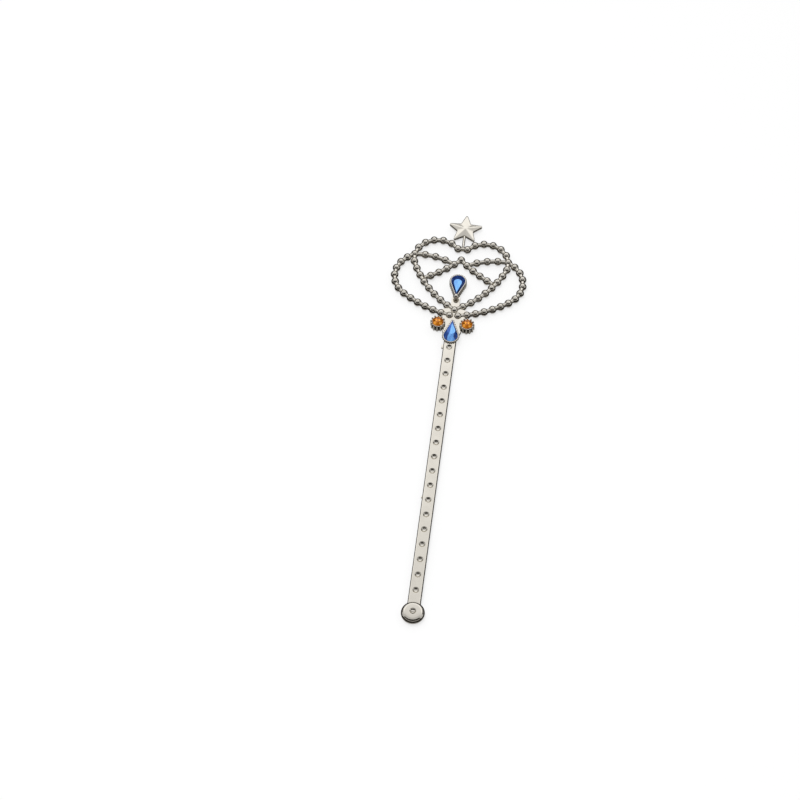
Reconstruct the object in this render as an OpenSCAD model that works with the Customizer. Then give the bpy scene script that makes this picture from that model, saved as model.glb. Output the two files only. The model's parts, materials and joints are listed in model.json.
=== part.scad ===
// Toy magic wand: a dimpled shaft with a round button at its foot, and a heart-shaped
// head of bead strands with four set stones and a star. It lies on its back, face up.
// +Y runs from the button to the star, +Z is up, and Y = 0 is half way along the wand.

/* [Handle] */
// Width of the shaft bar
shaft_w = 8.4; // [7.4:0.1:9.4]
// Thickness of the shaft bar
shaft_t = 3.6; // [3.2:0.1:4]
// Radius of the shaft's long front edges
shaft_edge_r = 1; // [0.4:0.1:1.4]
// Number of dimples in the row
dimple_n = 18; // [8:1:22]
// Distance from one dimple to the next
dimple_pitch = 11.2; // [9:0.1:13]
// Width of a dimple at the surface
dimple_d = 4.1; // [2.4:0.1:4.6]
// Depth of a dimple
dimple_depth = 1.2; // [0.5:0.1:1.4]
// Distance from the button's centre to the first dimple
dimple_offset = 15.5; // [12:0.5:20]
// Distance from the last dimple to the eye at the shaft's end
eye_step = 9; // [8:0.5:12]
// Diameter of the end button
button_d = 15; // [11:0.5:16]
// Distance from the button's centre to the lower moulding gate mark
low_gate = 85; // [40:1:95]
// Length of the lower gate mark
low_gate_l = 1.6; // [1:0.2:4]
// How far the lower gate mark stands off the shaft's edge
low_gate_out = 0.7; // [0.4:0.1:1.2]
// Distance from the shaft's eye back to the upper moulding gate mark
high_gate = 8.4; // [6:0.2:20]
// Length of the upper gate mark
high_gate_l = 3; // [1:0.2:4]
// How far the upper gate mark stands off the shaft's edge
high_gate_out = 1.2; // [0.4:0.1:1.6]
// Thickness of the gate marks
gate_t = 1; // [0.6:0.1:1.4]

/* [Lap joint] */
// Length of the yoke's tail under the shaft, behind the eye
lap_back = 8; // [7:0.5:12]
// Thickness of the yoke's tail
tail_t = 1.6; // [1.2:0.1:1.9]
// Diameter of the peg that pins setting, shaft and yoke together
peg_d = 2.8; // [2:0.1:3.6]
// Radial clearance of the peg in its bores
peg_clear = 0.05; // [0.02:0.01:0.15]

/* [Bead strands] */
// Diameter of a bead, and of the wand's thickest moulded parts
bead_d = 5.4; // [4.8:0.1:5.6]
// Diameter of the necks that join the beads
neck_d = 3; // [2:0.1:3.6]
// Gap where two pieces of the head meet
seat_gap = 0.04; // [0.02:0.01:0.1]
// Rise from the shaft's eye to the lowest beads of the outer strands
head_rise = 19; // [18:0.5:24]
// Half the space between the two beads in the heart's dip
dip_x = 3.3; // [3:0.1:3.6]
// Distance of the heart's lobe centres from the middle
heart_lobe_x = 16.4; // [16.2:0.1:16.6]
// Height of the heart's lobe centres above the lowest beads
heart_lobe_y = 48.8; // [48.4:0.1:49.2]
// Radius of the heart's lobes
heart_lobe_r = 16.6; // [16.4:0.1:16.8]
// Radius of the heart's long sides
heart_side_r = 78; // [70:1:110]
// Height of the heart's lowest bead above the lowest beads of the outer strands
heart_foot = 4.9; // [4.7:0.1:5.6]
// Distance of the outer lobe centres from the middle
outer_lobe_x = 24.2; // [24.1:0.1:24.6]
// Height of the outer lobe centres above the lowest beads
outer_lobe_y = 31.9; // [31.6:0.1:32.2]
// Radius of the outer lobes
outer_lobe_r = 20.5; // [20.2:0.1:21]
// Angle on the outer lobe at which its first bead sits
outer_start = 49; // [48:0.5:50]
// Distance of the outer strands' last beads from the middle
outer_foot_x = 2.9; // [2.85:0.05:3.2]
// Radius of the outer strands' lower sweep
outer_side_r = 86; // [80:1:110]
// Height of the arch's top bead above the lowest beads
arch_top = 49.2; // [47:0.2:50]
// Radius of the arch's hollow sides
arch_r = 90; // [70:5:200]
// Radius of the inner lobes
lobe_r = 46; // [36:1:90]

/* [Yoke] */
// Thickness of the yoke plate
yoke_t = 2.4; // [2.2:0.1:2.8]
// Width of the yoke's neck under the upper stone
yoke_neck_w = 5.8; // [5:0.1:6.4]
// Half width of the yoke's shoulders behind the lowest beads
shoulder_x = 8.2; // [7.6:0.1:8.8]
// Radius of the curves that run from neck to shoulders
shoulder_r = 6; // [5:0.5:8]

/* [Stones] */
// Width of a drop stone
drop_w = 9.8; // [8.4:0.1:10.2]
// Length of a drop stone
drop_l = 17.8; // [16.6:0.2:18.2]
// Diameter of a round stone
round_d = 7.8; // [6.4:0.1:8.2]
// Rise from the shaft's eye to the upper drop stone's round end
upper_rise = 47.5; // [46.5:0.5:50]
// Distance of the round stones from the middle
round_x = 10; // [9.8:0.1:11]
// Rise from the shaft's eye to the round stones
round_rise = 10.8; // [9.6:0.1:11]
// Height of a stone's straight edge
girdle_t = 0.7; // [0.5:0.1:1]
// Height of a drop stone's crown above its edge
drop_crown = 2; // [1.4:0.1:2.6]
// Width of a drop stone's flat top
drop_table_w = 5.6; // [4:0.1:6.4]
// Length of a drop stone's flat top
drop_table_l = 14.4; // [12:0.2:15.2]
// Height of a round stone's crown above its edge
round_crown = 1.9; // [1.4:0.1:2.6]
// Diameter of a round stone half way up its crown
round_waist_d = 6.2; // [5.2:0.1:6.4]
// Height of that waist above the edge
round_waist = 1; // [0.8:0.1:1.2]
// Diameter of a round stone's flat top
round_table_d = 3.6; // [2.4:0.1:4.2]
// Clearance round a stone in its setting
stone_clear = 0.06; // [0.02:0.01:0.15]

/* [Settings] */
// Thickness of a setting's wall
bezel_t = 0.6; // [0.5:0.05:0.8]
// Floor of the lower setting, over the shaft's end
tray_floor = 0.4; // [0.3:0.05:0.6]
// Diameter of the ribs round a setting
rib_d = 0.9; // [0.6:0.1:1.1]
// Number of ribs round the curved end of a drop setting
drop_ribs = 17; // [9:2:21]
// Number of ribs along each straight side of a drop setting
side_ribs = 7; // [5:1:9]
// Number of claws round a round setting
claw_n = 12; // [8:1:14]
// Diameter of a round setting's claws
claw_d = 1.2; // [1:0.1:1.5]
// How far the claws reach above the setting's rim
claw_rise = 0.2; // [0.1:0.1:0.5]
// Diameter of the bead at the upper stone's point
tip_bead_d = 4.2; // [3:0.1:4.4]
// How far that bead's centre lies past the stone's point
tip_bead_out = 0.6; // [0.4:0.1:1]

/* [Star] */
// Radius from the star's centre to its tips
star_r = 12; // [10.5:0.5:12]
// Radius from the star's centre to its notches
star_notch_r = 5.9; // [5:0.1:6.6]
// Rise from the lowest beads to the star's centre
star_rise = 76.8; // [76.8:0.2:80]
// Thickness of the star at its edge
star_edge_t = 2; // [1.4:0.1:2.6]
// Height of the star's middle above its edge
star_dome = 1; // [0.6:0.1:2.4]
// Radius of the star's rounded tips
star_tip_r = 0.8; // [0.3:0.1:1.2]
// Diameter of the star's stem
stem_d = 1.8; // [1.4:0.1:2.2]

/* [Hidden] */
$fn = 64;

chrome = "#d9d5cc";
sapphire = "#2f6fd0";
amber = "#d07a18";

// How far a cut runs past the faces that it cuts, and a mark into the bar that it is on
over = 0.5;
// Thickness of the slices that a stone's crown is drawn over
slice_t = 0.01;

// Bead spaces along each half of the heart, each outer strand, each half of the arch and
// each inner lobe. The strands meet at counted beads, so these stay together.
heart_n = 15;
outer_n = 12;
arch_n = 5;
lobe_n = 4;
// Bead spaces from the heart's dip to the shoulder bead that ties the strands together,
// and to the first of the two beads between which the arch lands
shoulder_n = 6;
landing_n = 9;

// Places along the wand, from the button's centre
eye_y = dimple_offset + (dimple_n - 1) * dimple_pitch + eye_step;
head_y = eye_y + head_rise;
upper_y = eye_y + upper_rise;
round_y = eye_y + round_rise;
star_y = head_y + star_rise;
mid_y = (star_y + star_r - button_d / 2) / 2;

// Heights above the surface that the wand lies on
bead_r = bead_d / 2;
neck_in = bead_r / 2;
shaft_z = bead_r - shaft_t / 2;
shaft_top = bead_r + shaft_t / 2;
lap_z = shaft_z + tail_t;
yoke_top = shaft_z + yoke_t;
seat_z = shaft_top + tray_floor;
rim_z = seat_z + girdle_t;

// Shape of a drop: a round end with two sides that run out to a point
drop_r = drop_w / 2;
drop_tip = drop_l - drop_r;

// A round setting's wall, and its reach with the claws
round_wall_r = round_d / 2 + stone_clear + bezel_t;
round_outer_r = round_wall_r + claw_d / 2;

// The sphere that leaves a dimple of this width and depth
dimple_r = (pow(dimple_d / 2, 2) + pow(dimple_depth, 2)) / (2 * dimple_depth);

function polar(c, r, a) = c + r * [cos(a), sin(a)];
function heading(v) = atan2(v[1], v[0]);
function flip(p) = [-p[0], p[1]];
function flipped(pts) = [for (p = pts) flip(p)];
function part_of(pts, a, b) = [for (i = [a : b]) pts[i]];
function backwards(pts) = [for (i = [len(pts) - 1 : -1 : 0]) pts[i]];

// Where a circle about c meets a circle about d, on the right-hand side of c to d
function meet(c, rc, d, rd) =
  let (w = norm(d - c), u = (d - c) / w, a = (rc * rc - rd * rd + w * w) / (2 * w))
  c + a * u + sqrt(rc * rc - a * a) * [u[1], -u[0]];

// n + 1 evenly spaced points: clockwise round a lobe, then on along a wide arc that
// leaves the lobe smoothly and ends at foot
function sweep_points(lobe, lobe_r, start, foot, side_r, n) =
  let (
    hub = meet(lobe, side_r - lobe_r, foot, side_r),
    turn = heading(lobe - hub),
    end = heading(foot - hub),
    lobe_len = lobe_r * (start - turn),
    step = (lobe_len + side_r * (turn - end)) / n
  )
  [for (i = [0 : n])
    let (s = i * step)
    s < lobe_len ? polar(lobe, lobe_r, start - s / lobe_r)
                 : polar(hub, side_r, turn - (s - lobe_len) / side_r)];

// n + 1 evenly spaced points on an arc of radius r from p to q, turning left as it goes
function bow_points(p, q, r, n) =
  let (
    w = norm(q - p),
    u = (q - p) / w,
    hub = (p + q) / 2 + sqrt(r * r - w * w / 4) * [-u[1], u[0]],
    a = heading(p - hub),
    half = asin(w / 2 / r)
  )
  [for (i = [0 : n]) polar(hub, r, a + 2 * half * i / n)];

// Bead centres of the right-hand strands
head_base = [0, head_y];
heart_start = 180 - acos((heart_lobe_x - dip_x) / heart_lobe_r);
heart_pts = sweep_points(head_base + [heart_lobe_x, heart_lobe_y], heart_lobe_r, heart_start,
  head_base + [0, heart_foot], heart_side_r, heart_n);
outer_pts = sweep_points(head_base + [outer_lobe_x, outer_lobe_y], outer_lobe_r, outer_start,
  head_base + [outer_foot_x, 0], outer_side_r, outer_n);

// Where the strands meet
tie = heart_pts[shoulder_n];
landing = (heart_pts[landing_n] + heart_pts[landing_n + 1]) / 2;
arch_pts = bow_points(head_base + [0, arch_top], landing, arch_r, arch_n);
arch_last = arch_pts[arch_n - 1];
arch_end = landing + neck_in * (landing - arch_last) / norm(landing - arch_last);
lobe_pts = bow_points(tie, arch_pts[1], lobe_r, lobe_n);

// Moves a piece from its place along the wand into the part's frame
module placed() {
  translate([0, -mid_y, 0]) children();
}

module at_bead(p) {
  translate([p[0], p[1], bead_r]) children();
}

// A bead at p, turned to face along a path that heads that way
module bead(p, grow = 0, along = 0) {
  at_bead(p) rotate(along + 90) sphere(bead_r + grow);
}

// A neck between the beads at p and q, running half way in to each bead's middle
module neck(p, q, grow = 0) {
  at_bead(p)
    rotate([0, 90, heading(q - p)])
      translate([0, 0, neck_in])
        cylinder(h = norm(q - p) - 2 * neck_in, d = neck_d + 2 * grow);
}

// Beads at each point, joined by necks
module bead_chain(pts, grow = 0) {
  last = len(pts) - 1;
  for (i = [0 : last])
    bead(pts[i], grow, heading(pts[min(i + 1, last)] - pts[max(i - 1, 0)]));
  for (i = [1 : last]) neck(pts[i - 1], pts[i], grow);
}

// A chain whose first and last points are beads of other pieces: its end necks are
// hollowed to sit on them
module seated_chain(pts) {
  last = len(pts) - 1;
  difference() {
    union() {
      bead_chain(part_of(pts, 1, last - 1));
      neck(pts[1], pts[0]);
      neck(pts[last - 1], pts[last]);
    }
    bead(pts[0], seat_gap, heading(pts[1] - pts[0]));
    bead(pts[last], seat_gap, heading(pts[last] - pts[last - 1]));
  }
}

// Outline of a drop, round about the origin with its point toward +Y
module drop_2d(r, tip) {
  lean = acos(r / tip);
  // the sides end a hair inside the circle, so that they cross it cleanly
  inside = 0.9995 * r;
  circle(r);
  polygon([[0, tip], polar([0, 0], inside, 90 + lean), polar([0, 0], inside, 90 - lean)]);
}

// Outline of a drop setting: the stone's outline grown by the wall
module bezel_2d(wall) {
  drop_2d(drop_r + wall, drop_tip * (drop_r + wall) / drop_r);
}

// Ribs set along the outside of a drop setting
module bezel_ribs_2d() {
  r = drop_r + stone_clear + bezel_t;
  tip = drop_tip * r / drop_r;
  lean = acos(r / tip);
  for (i = [0 : drop_ribs - 1])
    rotate(90 + lean + (360 - 2 * lean) * i / (drop_ribs - 1))
      translate([r, 0]) circle(d = rib_d, $fn = 24);
  for (side = [-1, 1], i = [1 : side_ribs]) {
    a = polar([0, 0], r, 90 + side * lean);
    translate(a + ([0, tip] - a) * i / (side_ribs + 1))
      rotate(90 + side * lean) circle(d = rib_d, $fn = 24);
  }
}

module bezel_outer_2d() {
  bezel_2d(stone_clear + bezel_t);
  bezel_ribs_2d();
}

// Plan of the shaft's end: a strip with a round end about the eye
module shaft_end_2d(grow = 0) {
  w = shaft_w + 2 * grow;
  translate([0, eye_y]) circle(d = w);
  translate([-w / 2, eye_y - lap_back - grow]) square([w, lap_back + grow]);
}

// Section of the shaft: a bar with its two front edges rounded
module shaft_section() {
  for (side = [-1, 1])
    translate([side * (shaft_w / 2 - shaft_edge_r), shaft_t - shaft_edge_r])
      circle(shaft_edge_r);
  translate([-shaft_w / 2, 0]) square([shaft_w, shaft_t - shaft_edge_r]);
  translate([shaft_edge_r - shaft_w / 2, 0]) square([shaft_w - 2 * shaft_edge_r, shaft_t]);
}

module shaft_bar() {
  bar_l = eye_y + shaft_w / 2;
  intersection() {
    translate([0, bar_l, shaft_z])
      rotate([90, 0, 0])
        linear_extrude(bar_l) shaft_section();
    translate([0, 0, shaft_z])
      linear_extrude(shaft_t) {
        translate([0, eye_y]) circle(d = shaft_w);
        translate([-shaft_w / 2, 0]) square([shaft_w, eye_y]);
      }
  }
}

// The end button: flat on both faces, with a fully rounded rim
module button() {
  rotate_extrude() {
    square([button_d / 2 - bead_r, bead_d]);
    translate([button_d / 2 - bead_r, bead_r])
      intersection() {
        circle(bead_r);
        translate([0, -bead_r]) square(bead_d);
      }
  }
}

module dimple(y, top) {
  translate([0, y, top - dimple_depth + dimple_r]) sphere(dimple_r);
}

// A mark left by a moulding gate, on the parting line of the shaft's left edge
module gate_mark(y, l, out) {
  translate([-shaft_w / 2 - out, y - l / 2, bead_r]) cube([out + over, l, gate_t]);
}

module handle() {
  color(chrome)
    placed()
      difference() {
        union() {
          shaft_bar();
          button();
          gate_mark(low_gate, low_gate_l, low_gate_out);
          gate_mark(eye_y - high_gate, high_gate_l, high_gate_out);
        }
        for (i = [0 : dimple_n - 1]) dimple(dimple_offset + i * dimple_pitch, shaft_top);
        dimple(0, bead_d);
        // step in the shaft's back for the yoke's tail
        translate([-shaft_w, eye_y - lap_back - seat_gap, shaft_z - over])
          cube([2 * shaft_w, lap_back + shaft_w, tail_t + over + seat_gap]);
        translate([0, eye_y, shaft_z])
          cylinder(h = shaft_t, d = peg_d + 2 * peg_clear);
      }
}

// Plan of the yoke: tail, shoulders and neck
module yoke_2d() {
  neck_x = yoke_neck_w / 2;
  shoulder_y = head_y + heart_foot;
  neck_end = upper_y - drop_tip + over;
  shaft_end_2d();
  translate([-neck_x, eye_y]) square([yoke_neck_w, neck_end - eye_y]);
  // shoulders, each cut back by a round curve into the neck
  for (side = [-1, 1])
    difference() {
      polygon([
        [0, eye_y],
        [side * shaft_w / 2, eye_y],
        [side * shoulder_x, round_y],
        [side * shoulder_x, shoulder_y],
        [side * neck_x, shoulder_y + shoulder_r],
        [0, shoulder_y + shoulder_r]
      ]);
      translate([side * (neck_x + shoulder_r), shoulder_y + shoulder_r]) circle(shoulder_r);
    }
}

module yoke() {
  color(chrome)
    placed()
      difference() {
        union() {
          translate([0, 0, shaft_z]) linear_extrude(yoke_t) yoke_2d();
          bead(heart_pts[heart_n]);
        }
        // the shaft's end lies on the tail
        translate([0, 0, lap_z]) linear_extrude(shaft_t) shaft_end_2d(seat_gap);
        translate([0, eye_y, shaft_z - over])
          cylinder(h = shaft_t, d = peg_d + 2 * peg_clear);
        // the upper setting stands in the neck's end
        translate([0, upper_y, shaft_z - over])
          mirror([0, 1, 0])
            linear_extrude(shaft_t) bezel_2d(stone_clear + bezel_t + rib_d / 2 + seat_gap);
        // the round settings stand in the shoulders
        for (side = [-1, 1])
          translate([side * round_x, round_y, shaft_z - over])
            cylinder(h = shaft_t, r = round_outer_r + seat_gap);
        // pockets for the lowest beads of the strands
        for (i = [outer_n - 2 : outer_n])
          for (p = [outer_pts[i], flip(outer_pts[i])]) bead(p, seat_gap);
        for (i = [outer_n - 1 : outer_n]) {
          neck(outer_pts[i - 1], outer_pts[i], seat_gap);
          neck(flip(outer_pts[i - 1]), flip(outer_pts[i]), seat_gap);
        }
        for (i = [heart_n - 2 : heart_n - 1])
          for (p = [heart_pts[i], flip(heart_pts[i])]) bead(p, seat_gap);
        for (i = [heart_n - 1 : heart_n])
          for (pts = [heart_pts, flipped(heart_pts)])
            difference() {
              neck(pts[i - 1], pts[i], seat_gap);
              bead(heart_pts[heart_n]);
            }
      }
}

module heart_top() {
  right = part_of(heart_pts, 0, shoulder_n);
  color(chrome) placed() bead_chain(concat(backwards(flipped(right)), right));
}

module heart_side_right() {
  color(chrome) placed() seated_chain(part_of(heart_pts, shoulder_n, heart_n));
}

module heart_side_left() {
  color(chrome) placed() seated_chain(flipped(part_of(heart_pts, shoulder_n, heart_n)));
}

// Outer strand: seated on the heart's shoulder bead, with its last beads in the yoke
module outer_strand(pts, seat) {
  difference() {
    union() {
      bead_chain(pts);
      neck(pts[0], seat);
    }
    bead(seat, seat_gap, heading(pts[0] - seat));
  }
}

module outer_strand_right() {
  color(chrome) placed() outer_strand(outer_pts, tie);
}

module outer_strand_left() {
  color(chrome) placed() outer_strand(flipped(outer_pts), flip(tie));
}

// Arch: its two ends land between two beads of the heart's sides
module arch_strand() {
  right = part_of(arch_pts, 1, arch_n - 1);
  land = part_of(heart_pts, landing_n, landing_n + 1);
  color(chrome)
    placed()
      difference() {
        union() {
          bead_chain(concat(backwards(flipped(right)), [arch_pts[0]], right));
          neck(arch_last, arch_end);
          neck(flip(arch_last), flip(arch_end));
        }
        bead_chain(land, seat_gap);
        bead_chain(flipped(land), seat_gap);
      }
}

module lobe_strand_right() {
  color(chrome) placed() seated_chain(lobe_pts);
}

module lobe_strand_left() {
  color(chrome) placed() seated_chain(flipped(lobe_pts));
}

// A five-pointed star with round tips, a ridge along each arm and a valley to each notch
module star_body() {
  arms = 5;
  tip_steps = 4;
  half_arm = 180 / arms;
  tip = [star_r - star_tip_r, 0];
  notch = polar([0, 0], star_notch_r, half_arm);
  // the tip's curve turns from one straight side of the arm to the other
  turn = heading(notch - tip) - acos(star_tip_r / norm(notch - tip));
  arm = concat(
    [for (i = [0 : tip_steps]) polar(tip, star_tip_r, turn * (2 * i / tip_steps - 1))],
    [notch]
  );
  rim = [for (k = [0 : arms - 1], p = arm)
    polar([0, 0], norm(p), 90 + 2 * half_arm * k + heading(p))];
  count = len(rim);
  back = [for (p = rim) [p[0], p[1], 0]];
  front = [for (p = rim) [p[0], p[1], star_edge_t]];
  apex = [0, 0, star_edge_t + star_dome];
  polyhedron(
    points = concat(back, front, [apex]),
    faces = concat(
      [[for (i = [0 : count - 1]) i]],
      [for (i = [0 : count - 1]) [i, count + i, count + (i + 1) % count, (i + 1) % count]],
      [for (i = [0 : count - 1]) [count + i, 2 * count, count + (i + 1) % count]]
    )
  );
}

module star_finial() {
  dip = [heart_pts[0], flip(heart_pts[0])];
  dip_y = heart_pts[0][1];
  color(chrome)
    placed()
      difference() {
        union() {
          translate([0, star_y, bead_r - stem_d / 2]) star_body();
          translate([0, star_y, bead_r])
            rotate([90, 0, 0])
              cylinder(h = star_y - dip_y, d = stem_d);
        }
        bead_chain(dip, seat_gap);
      }
}

// Upper setting: a block with a stone pocket, point down, and a bead at its point
module upper_setting() {
  color(chrome)
    placed()
      translate([0, upper_y, 0])
        mirror([0, 1, 0])
          difference() {
            union() {
              translate([0, 0, shaft_z]) linear_extrude(rim_z - shaft_z) bezel_outer_2d();
              translate([0, drop_tip + tip_bead_out, yoke_top + seat_gap + tip_bead_d / 2])
                sphere(d = tip_bead_d);
            }
            translate([0, 0, seat_z]) linear_extrude(rim_z) bezel_2d(stone_clear);
          }
}

// Lower setting: a tray over the shaft's end, with the peg that pins the lap joint
module lower_setting() {
  color(chrome)
    placed()
      difference() {
        union() {
          difference() {
            translate([0, eye_y, yoke_top + seat_gap])
              linear_extrude(rim_z - yoke_top - seat_gap) bezel_outer_2d();
            linear_extrude(shaft_top + seat_gap) shaft_end_2d(seat_gap);
            translate([-drop_w, eye_y - lap_back - drop_w, 0])
              cube([2 * drop_w, lap_back + drop_w, shaft_top + seat_gap]);
          }
          translate([0, eye_y, shaft_z]) cylinder(h = seat_z - shaft_z, d = peg_d);
        }
        translate([0, eye_y, seat_z]) linear_extrude(rim_z) bezel_2d(stone_clear);
      }
}

// Round setting: a cup with a ring of claws that bend in over the stone's edge
module round_setting() {
  difference() {
    union() {
      translate([0, 0, shaft_z]) cylinder(h = rim_z - shaft_z, r = round_wall_r);
      for (i = [0 : claw_n - 1])
        rotate(360 * i / claw_n) translate([round_wall_r, 0, shaft_z]) {
          cylinder(h = rim_z - shaft_z + claw_rise, d = claw_d, $fn = 24);
          translate([0, 0, rim_z - shaft_z + claw_rise]) sphere(d = claw_d, $fn = 24);
        }
    }
    translate([0, 0, seat_z]) cylinder(h = rim_z, d = round_d + 2 * stone_clear);
  }
}

module right_round_setting() {
  color(chrome) placed() translate([round_x, round_y, 0]) round_setting();
}

module left_round_setting() {
  color(chrome) placed() translate([-round_x, round_y, 0]) mirror([1, 0, 0]) round_setting();
}

// A slice of a drop stone: its outline at height z, w wide and l long, with a flat-sided
// round end
module drop_slice(z, h, w, l) {
  flats = 10;
  r = w / 2;
  tip = l - r;
  lean = acos(r / tip);
  round_end = [for (i = [0 : flats])
    polar([0, 0], r, 90 + lean + (360 - 2 * lean) * i / flats)];
  translate([0, 0, z]) linear_extrude(h) polygon(concat([[0, tip]], round_end));
}

// Flat-backed drop stone with a ring of crown facets round a long table
module drop_stone() {
  hull() {
    drop_slice(0, girdle_t, drop_w, drop_l);
    drop_slice(girdle_t + drop_crown - slice_t, slice_t, drop_table_w, drop_table_l);
  }
}

module lower_drop_stone() {
  color(sapphire) placed() translate([0, eye_y, seat_z]) drop_stone();
}

module upper_drop_stone() {
  color(sapphire)
    placed()
      translate([0, upper_y, seat_z])
        mirror([0, 1, 0]) drop_stone();
}

// Flat-backed round stone: sixteen edge facets, eight crown facets and a table
module round_stone() {
  sides = 8;
  hull() {
    cylinder(h = girdle_t, d = round_d, $fn = 2 * sides);
    translate([0, 0, girdle_t + round_waist])
      rotate(180 / sides)
        cylinder(h = slice_t, d = round_waist_d, $fn = sides);
    translate([0, 0, girdle_t + round_crown - slice_t])
      cylinder(h = slice_t, d = round_table_d, $fn = sides);
  }
}

module right_round_stone() {
  color(amber) placed() translate([round_x, round_y, seat_z]) round_stone();
}

module left_round_stone() {
  color(amber)
    placed()
      translate([-round_x, round_y, seat_z])
        mirror([1, 0, 0]) round_stone();
}

handle();
yoke();
heart_top();
heart_side_left();
heart_side_right();
outer_strand_left();
outer_strand_right();
arch_strand();
lobe_strand_left();
lobe_strand_right();
star_finial();
upper_setting();
lower_setting();
left_round_setting();
right_round_setting();
upper_drop_stone();
lower_drop_stone();
left_round_stone();
right_round_stone();
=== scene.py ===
import json
import math

import bmesh
import bpy
from mathutils import Matrix, Vector

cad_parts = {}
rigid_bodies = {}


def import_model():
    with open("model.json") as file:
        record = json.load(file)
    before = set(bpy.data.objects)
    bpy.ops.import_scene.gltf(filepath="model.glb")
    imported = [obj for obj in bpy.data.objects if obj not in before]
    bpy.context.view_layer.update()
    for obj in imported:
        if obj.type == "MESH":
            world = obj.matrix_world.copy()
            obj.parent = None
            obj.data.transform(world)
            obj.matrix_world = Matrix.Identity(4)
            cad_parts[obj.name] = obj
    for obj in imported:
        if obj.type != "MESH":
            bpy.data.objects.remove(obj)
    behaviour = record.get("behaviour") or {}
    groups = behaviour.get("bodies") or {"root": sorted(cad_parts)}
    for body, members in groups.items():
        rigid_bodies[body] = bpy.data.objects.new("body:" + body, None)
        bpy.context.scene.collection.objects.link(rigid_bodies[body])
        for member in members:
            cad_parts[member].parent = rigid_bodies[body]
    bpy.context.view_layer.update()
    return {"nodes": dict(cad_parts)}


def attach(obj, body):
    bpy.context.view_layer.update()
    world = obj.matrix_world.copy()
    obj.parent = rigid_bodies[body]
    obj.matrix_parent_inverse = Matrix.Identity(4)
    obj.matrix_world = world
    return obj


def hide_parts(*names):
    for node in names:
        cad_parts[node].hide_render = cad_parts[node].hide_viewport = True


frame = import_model()

bl_info = {
    "name": "Toy Magic Wand",
    "version": (1, 0, 0),
    "blender": (4, 5, 0),
    "location": "View3D > Sidebar > Wand",
    "description": "Dresses the packed toy wand: bead strands, settings, stones, star and stage",
    "category": "Object",
}

MM = 0.001
BODY = "root"
QUARTER = math.pi / 2
SMOOTH_BELOW = 40.0  # degrees; sharper edges of the mouldings stay crisp
BEAD_DETAIL, NECK_SIDES, NECK_RINGS = 5, 32, 10
RIB_SIDES, CLAW_SIDES, POST_RINGS = 20, 24, 10


def length(name, text, mm):
    """A length property whose default is given in millimetres."""
    return bpy.props.FloatProperty(
        name=name, description=text, default=mm * MM, precision=5, subtype="DISTANCE", unit="LENGTH"
    )


def count(name, text, number):
    return bpy.props.IntProperty(name=name, description=text, default=number, min=1)


def angle(name, text, degrees):
    return bpy.props.FloatProperty(
        name=name, description=text, default=math.radians(degrees), subtype="ANGLE", unit="ROTATION"
    )


def colour(name, text, rgb):
    return bpy.props.FloatVectorProperty(
        name=name, description=text, default=rgb, size=3, subtype="COLOR", min=0.0, max=1.0
    )


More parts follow.
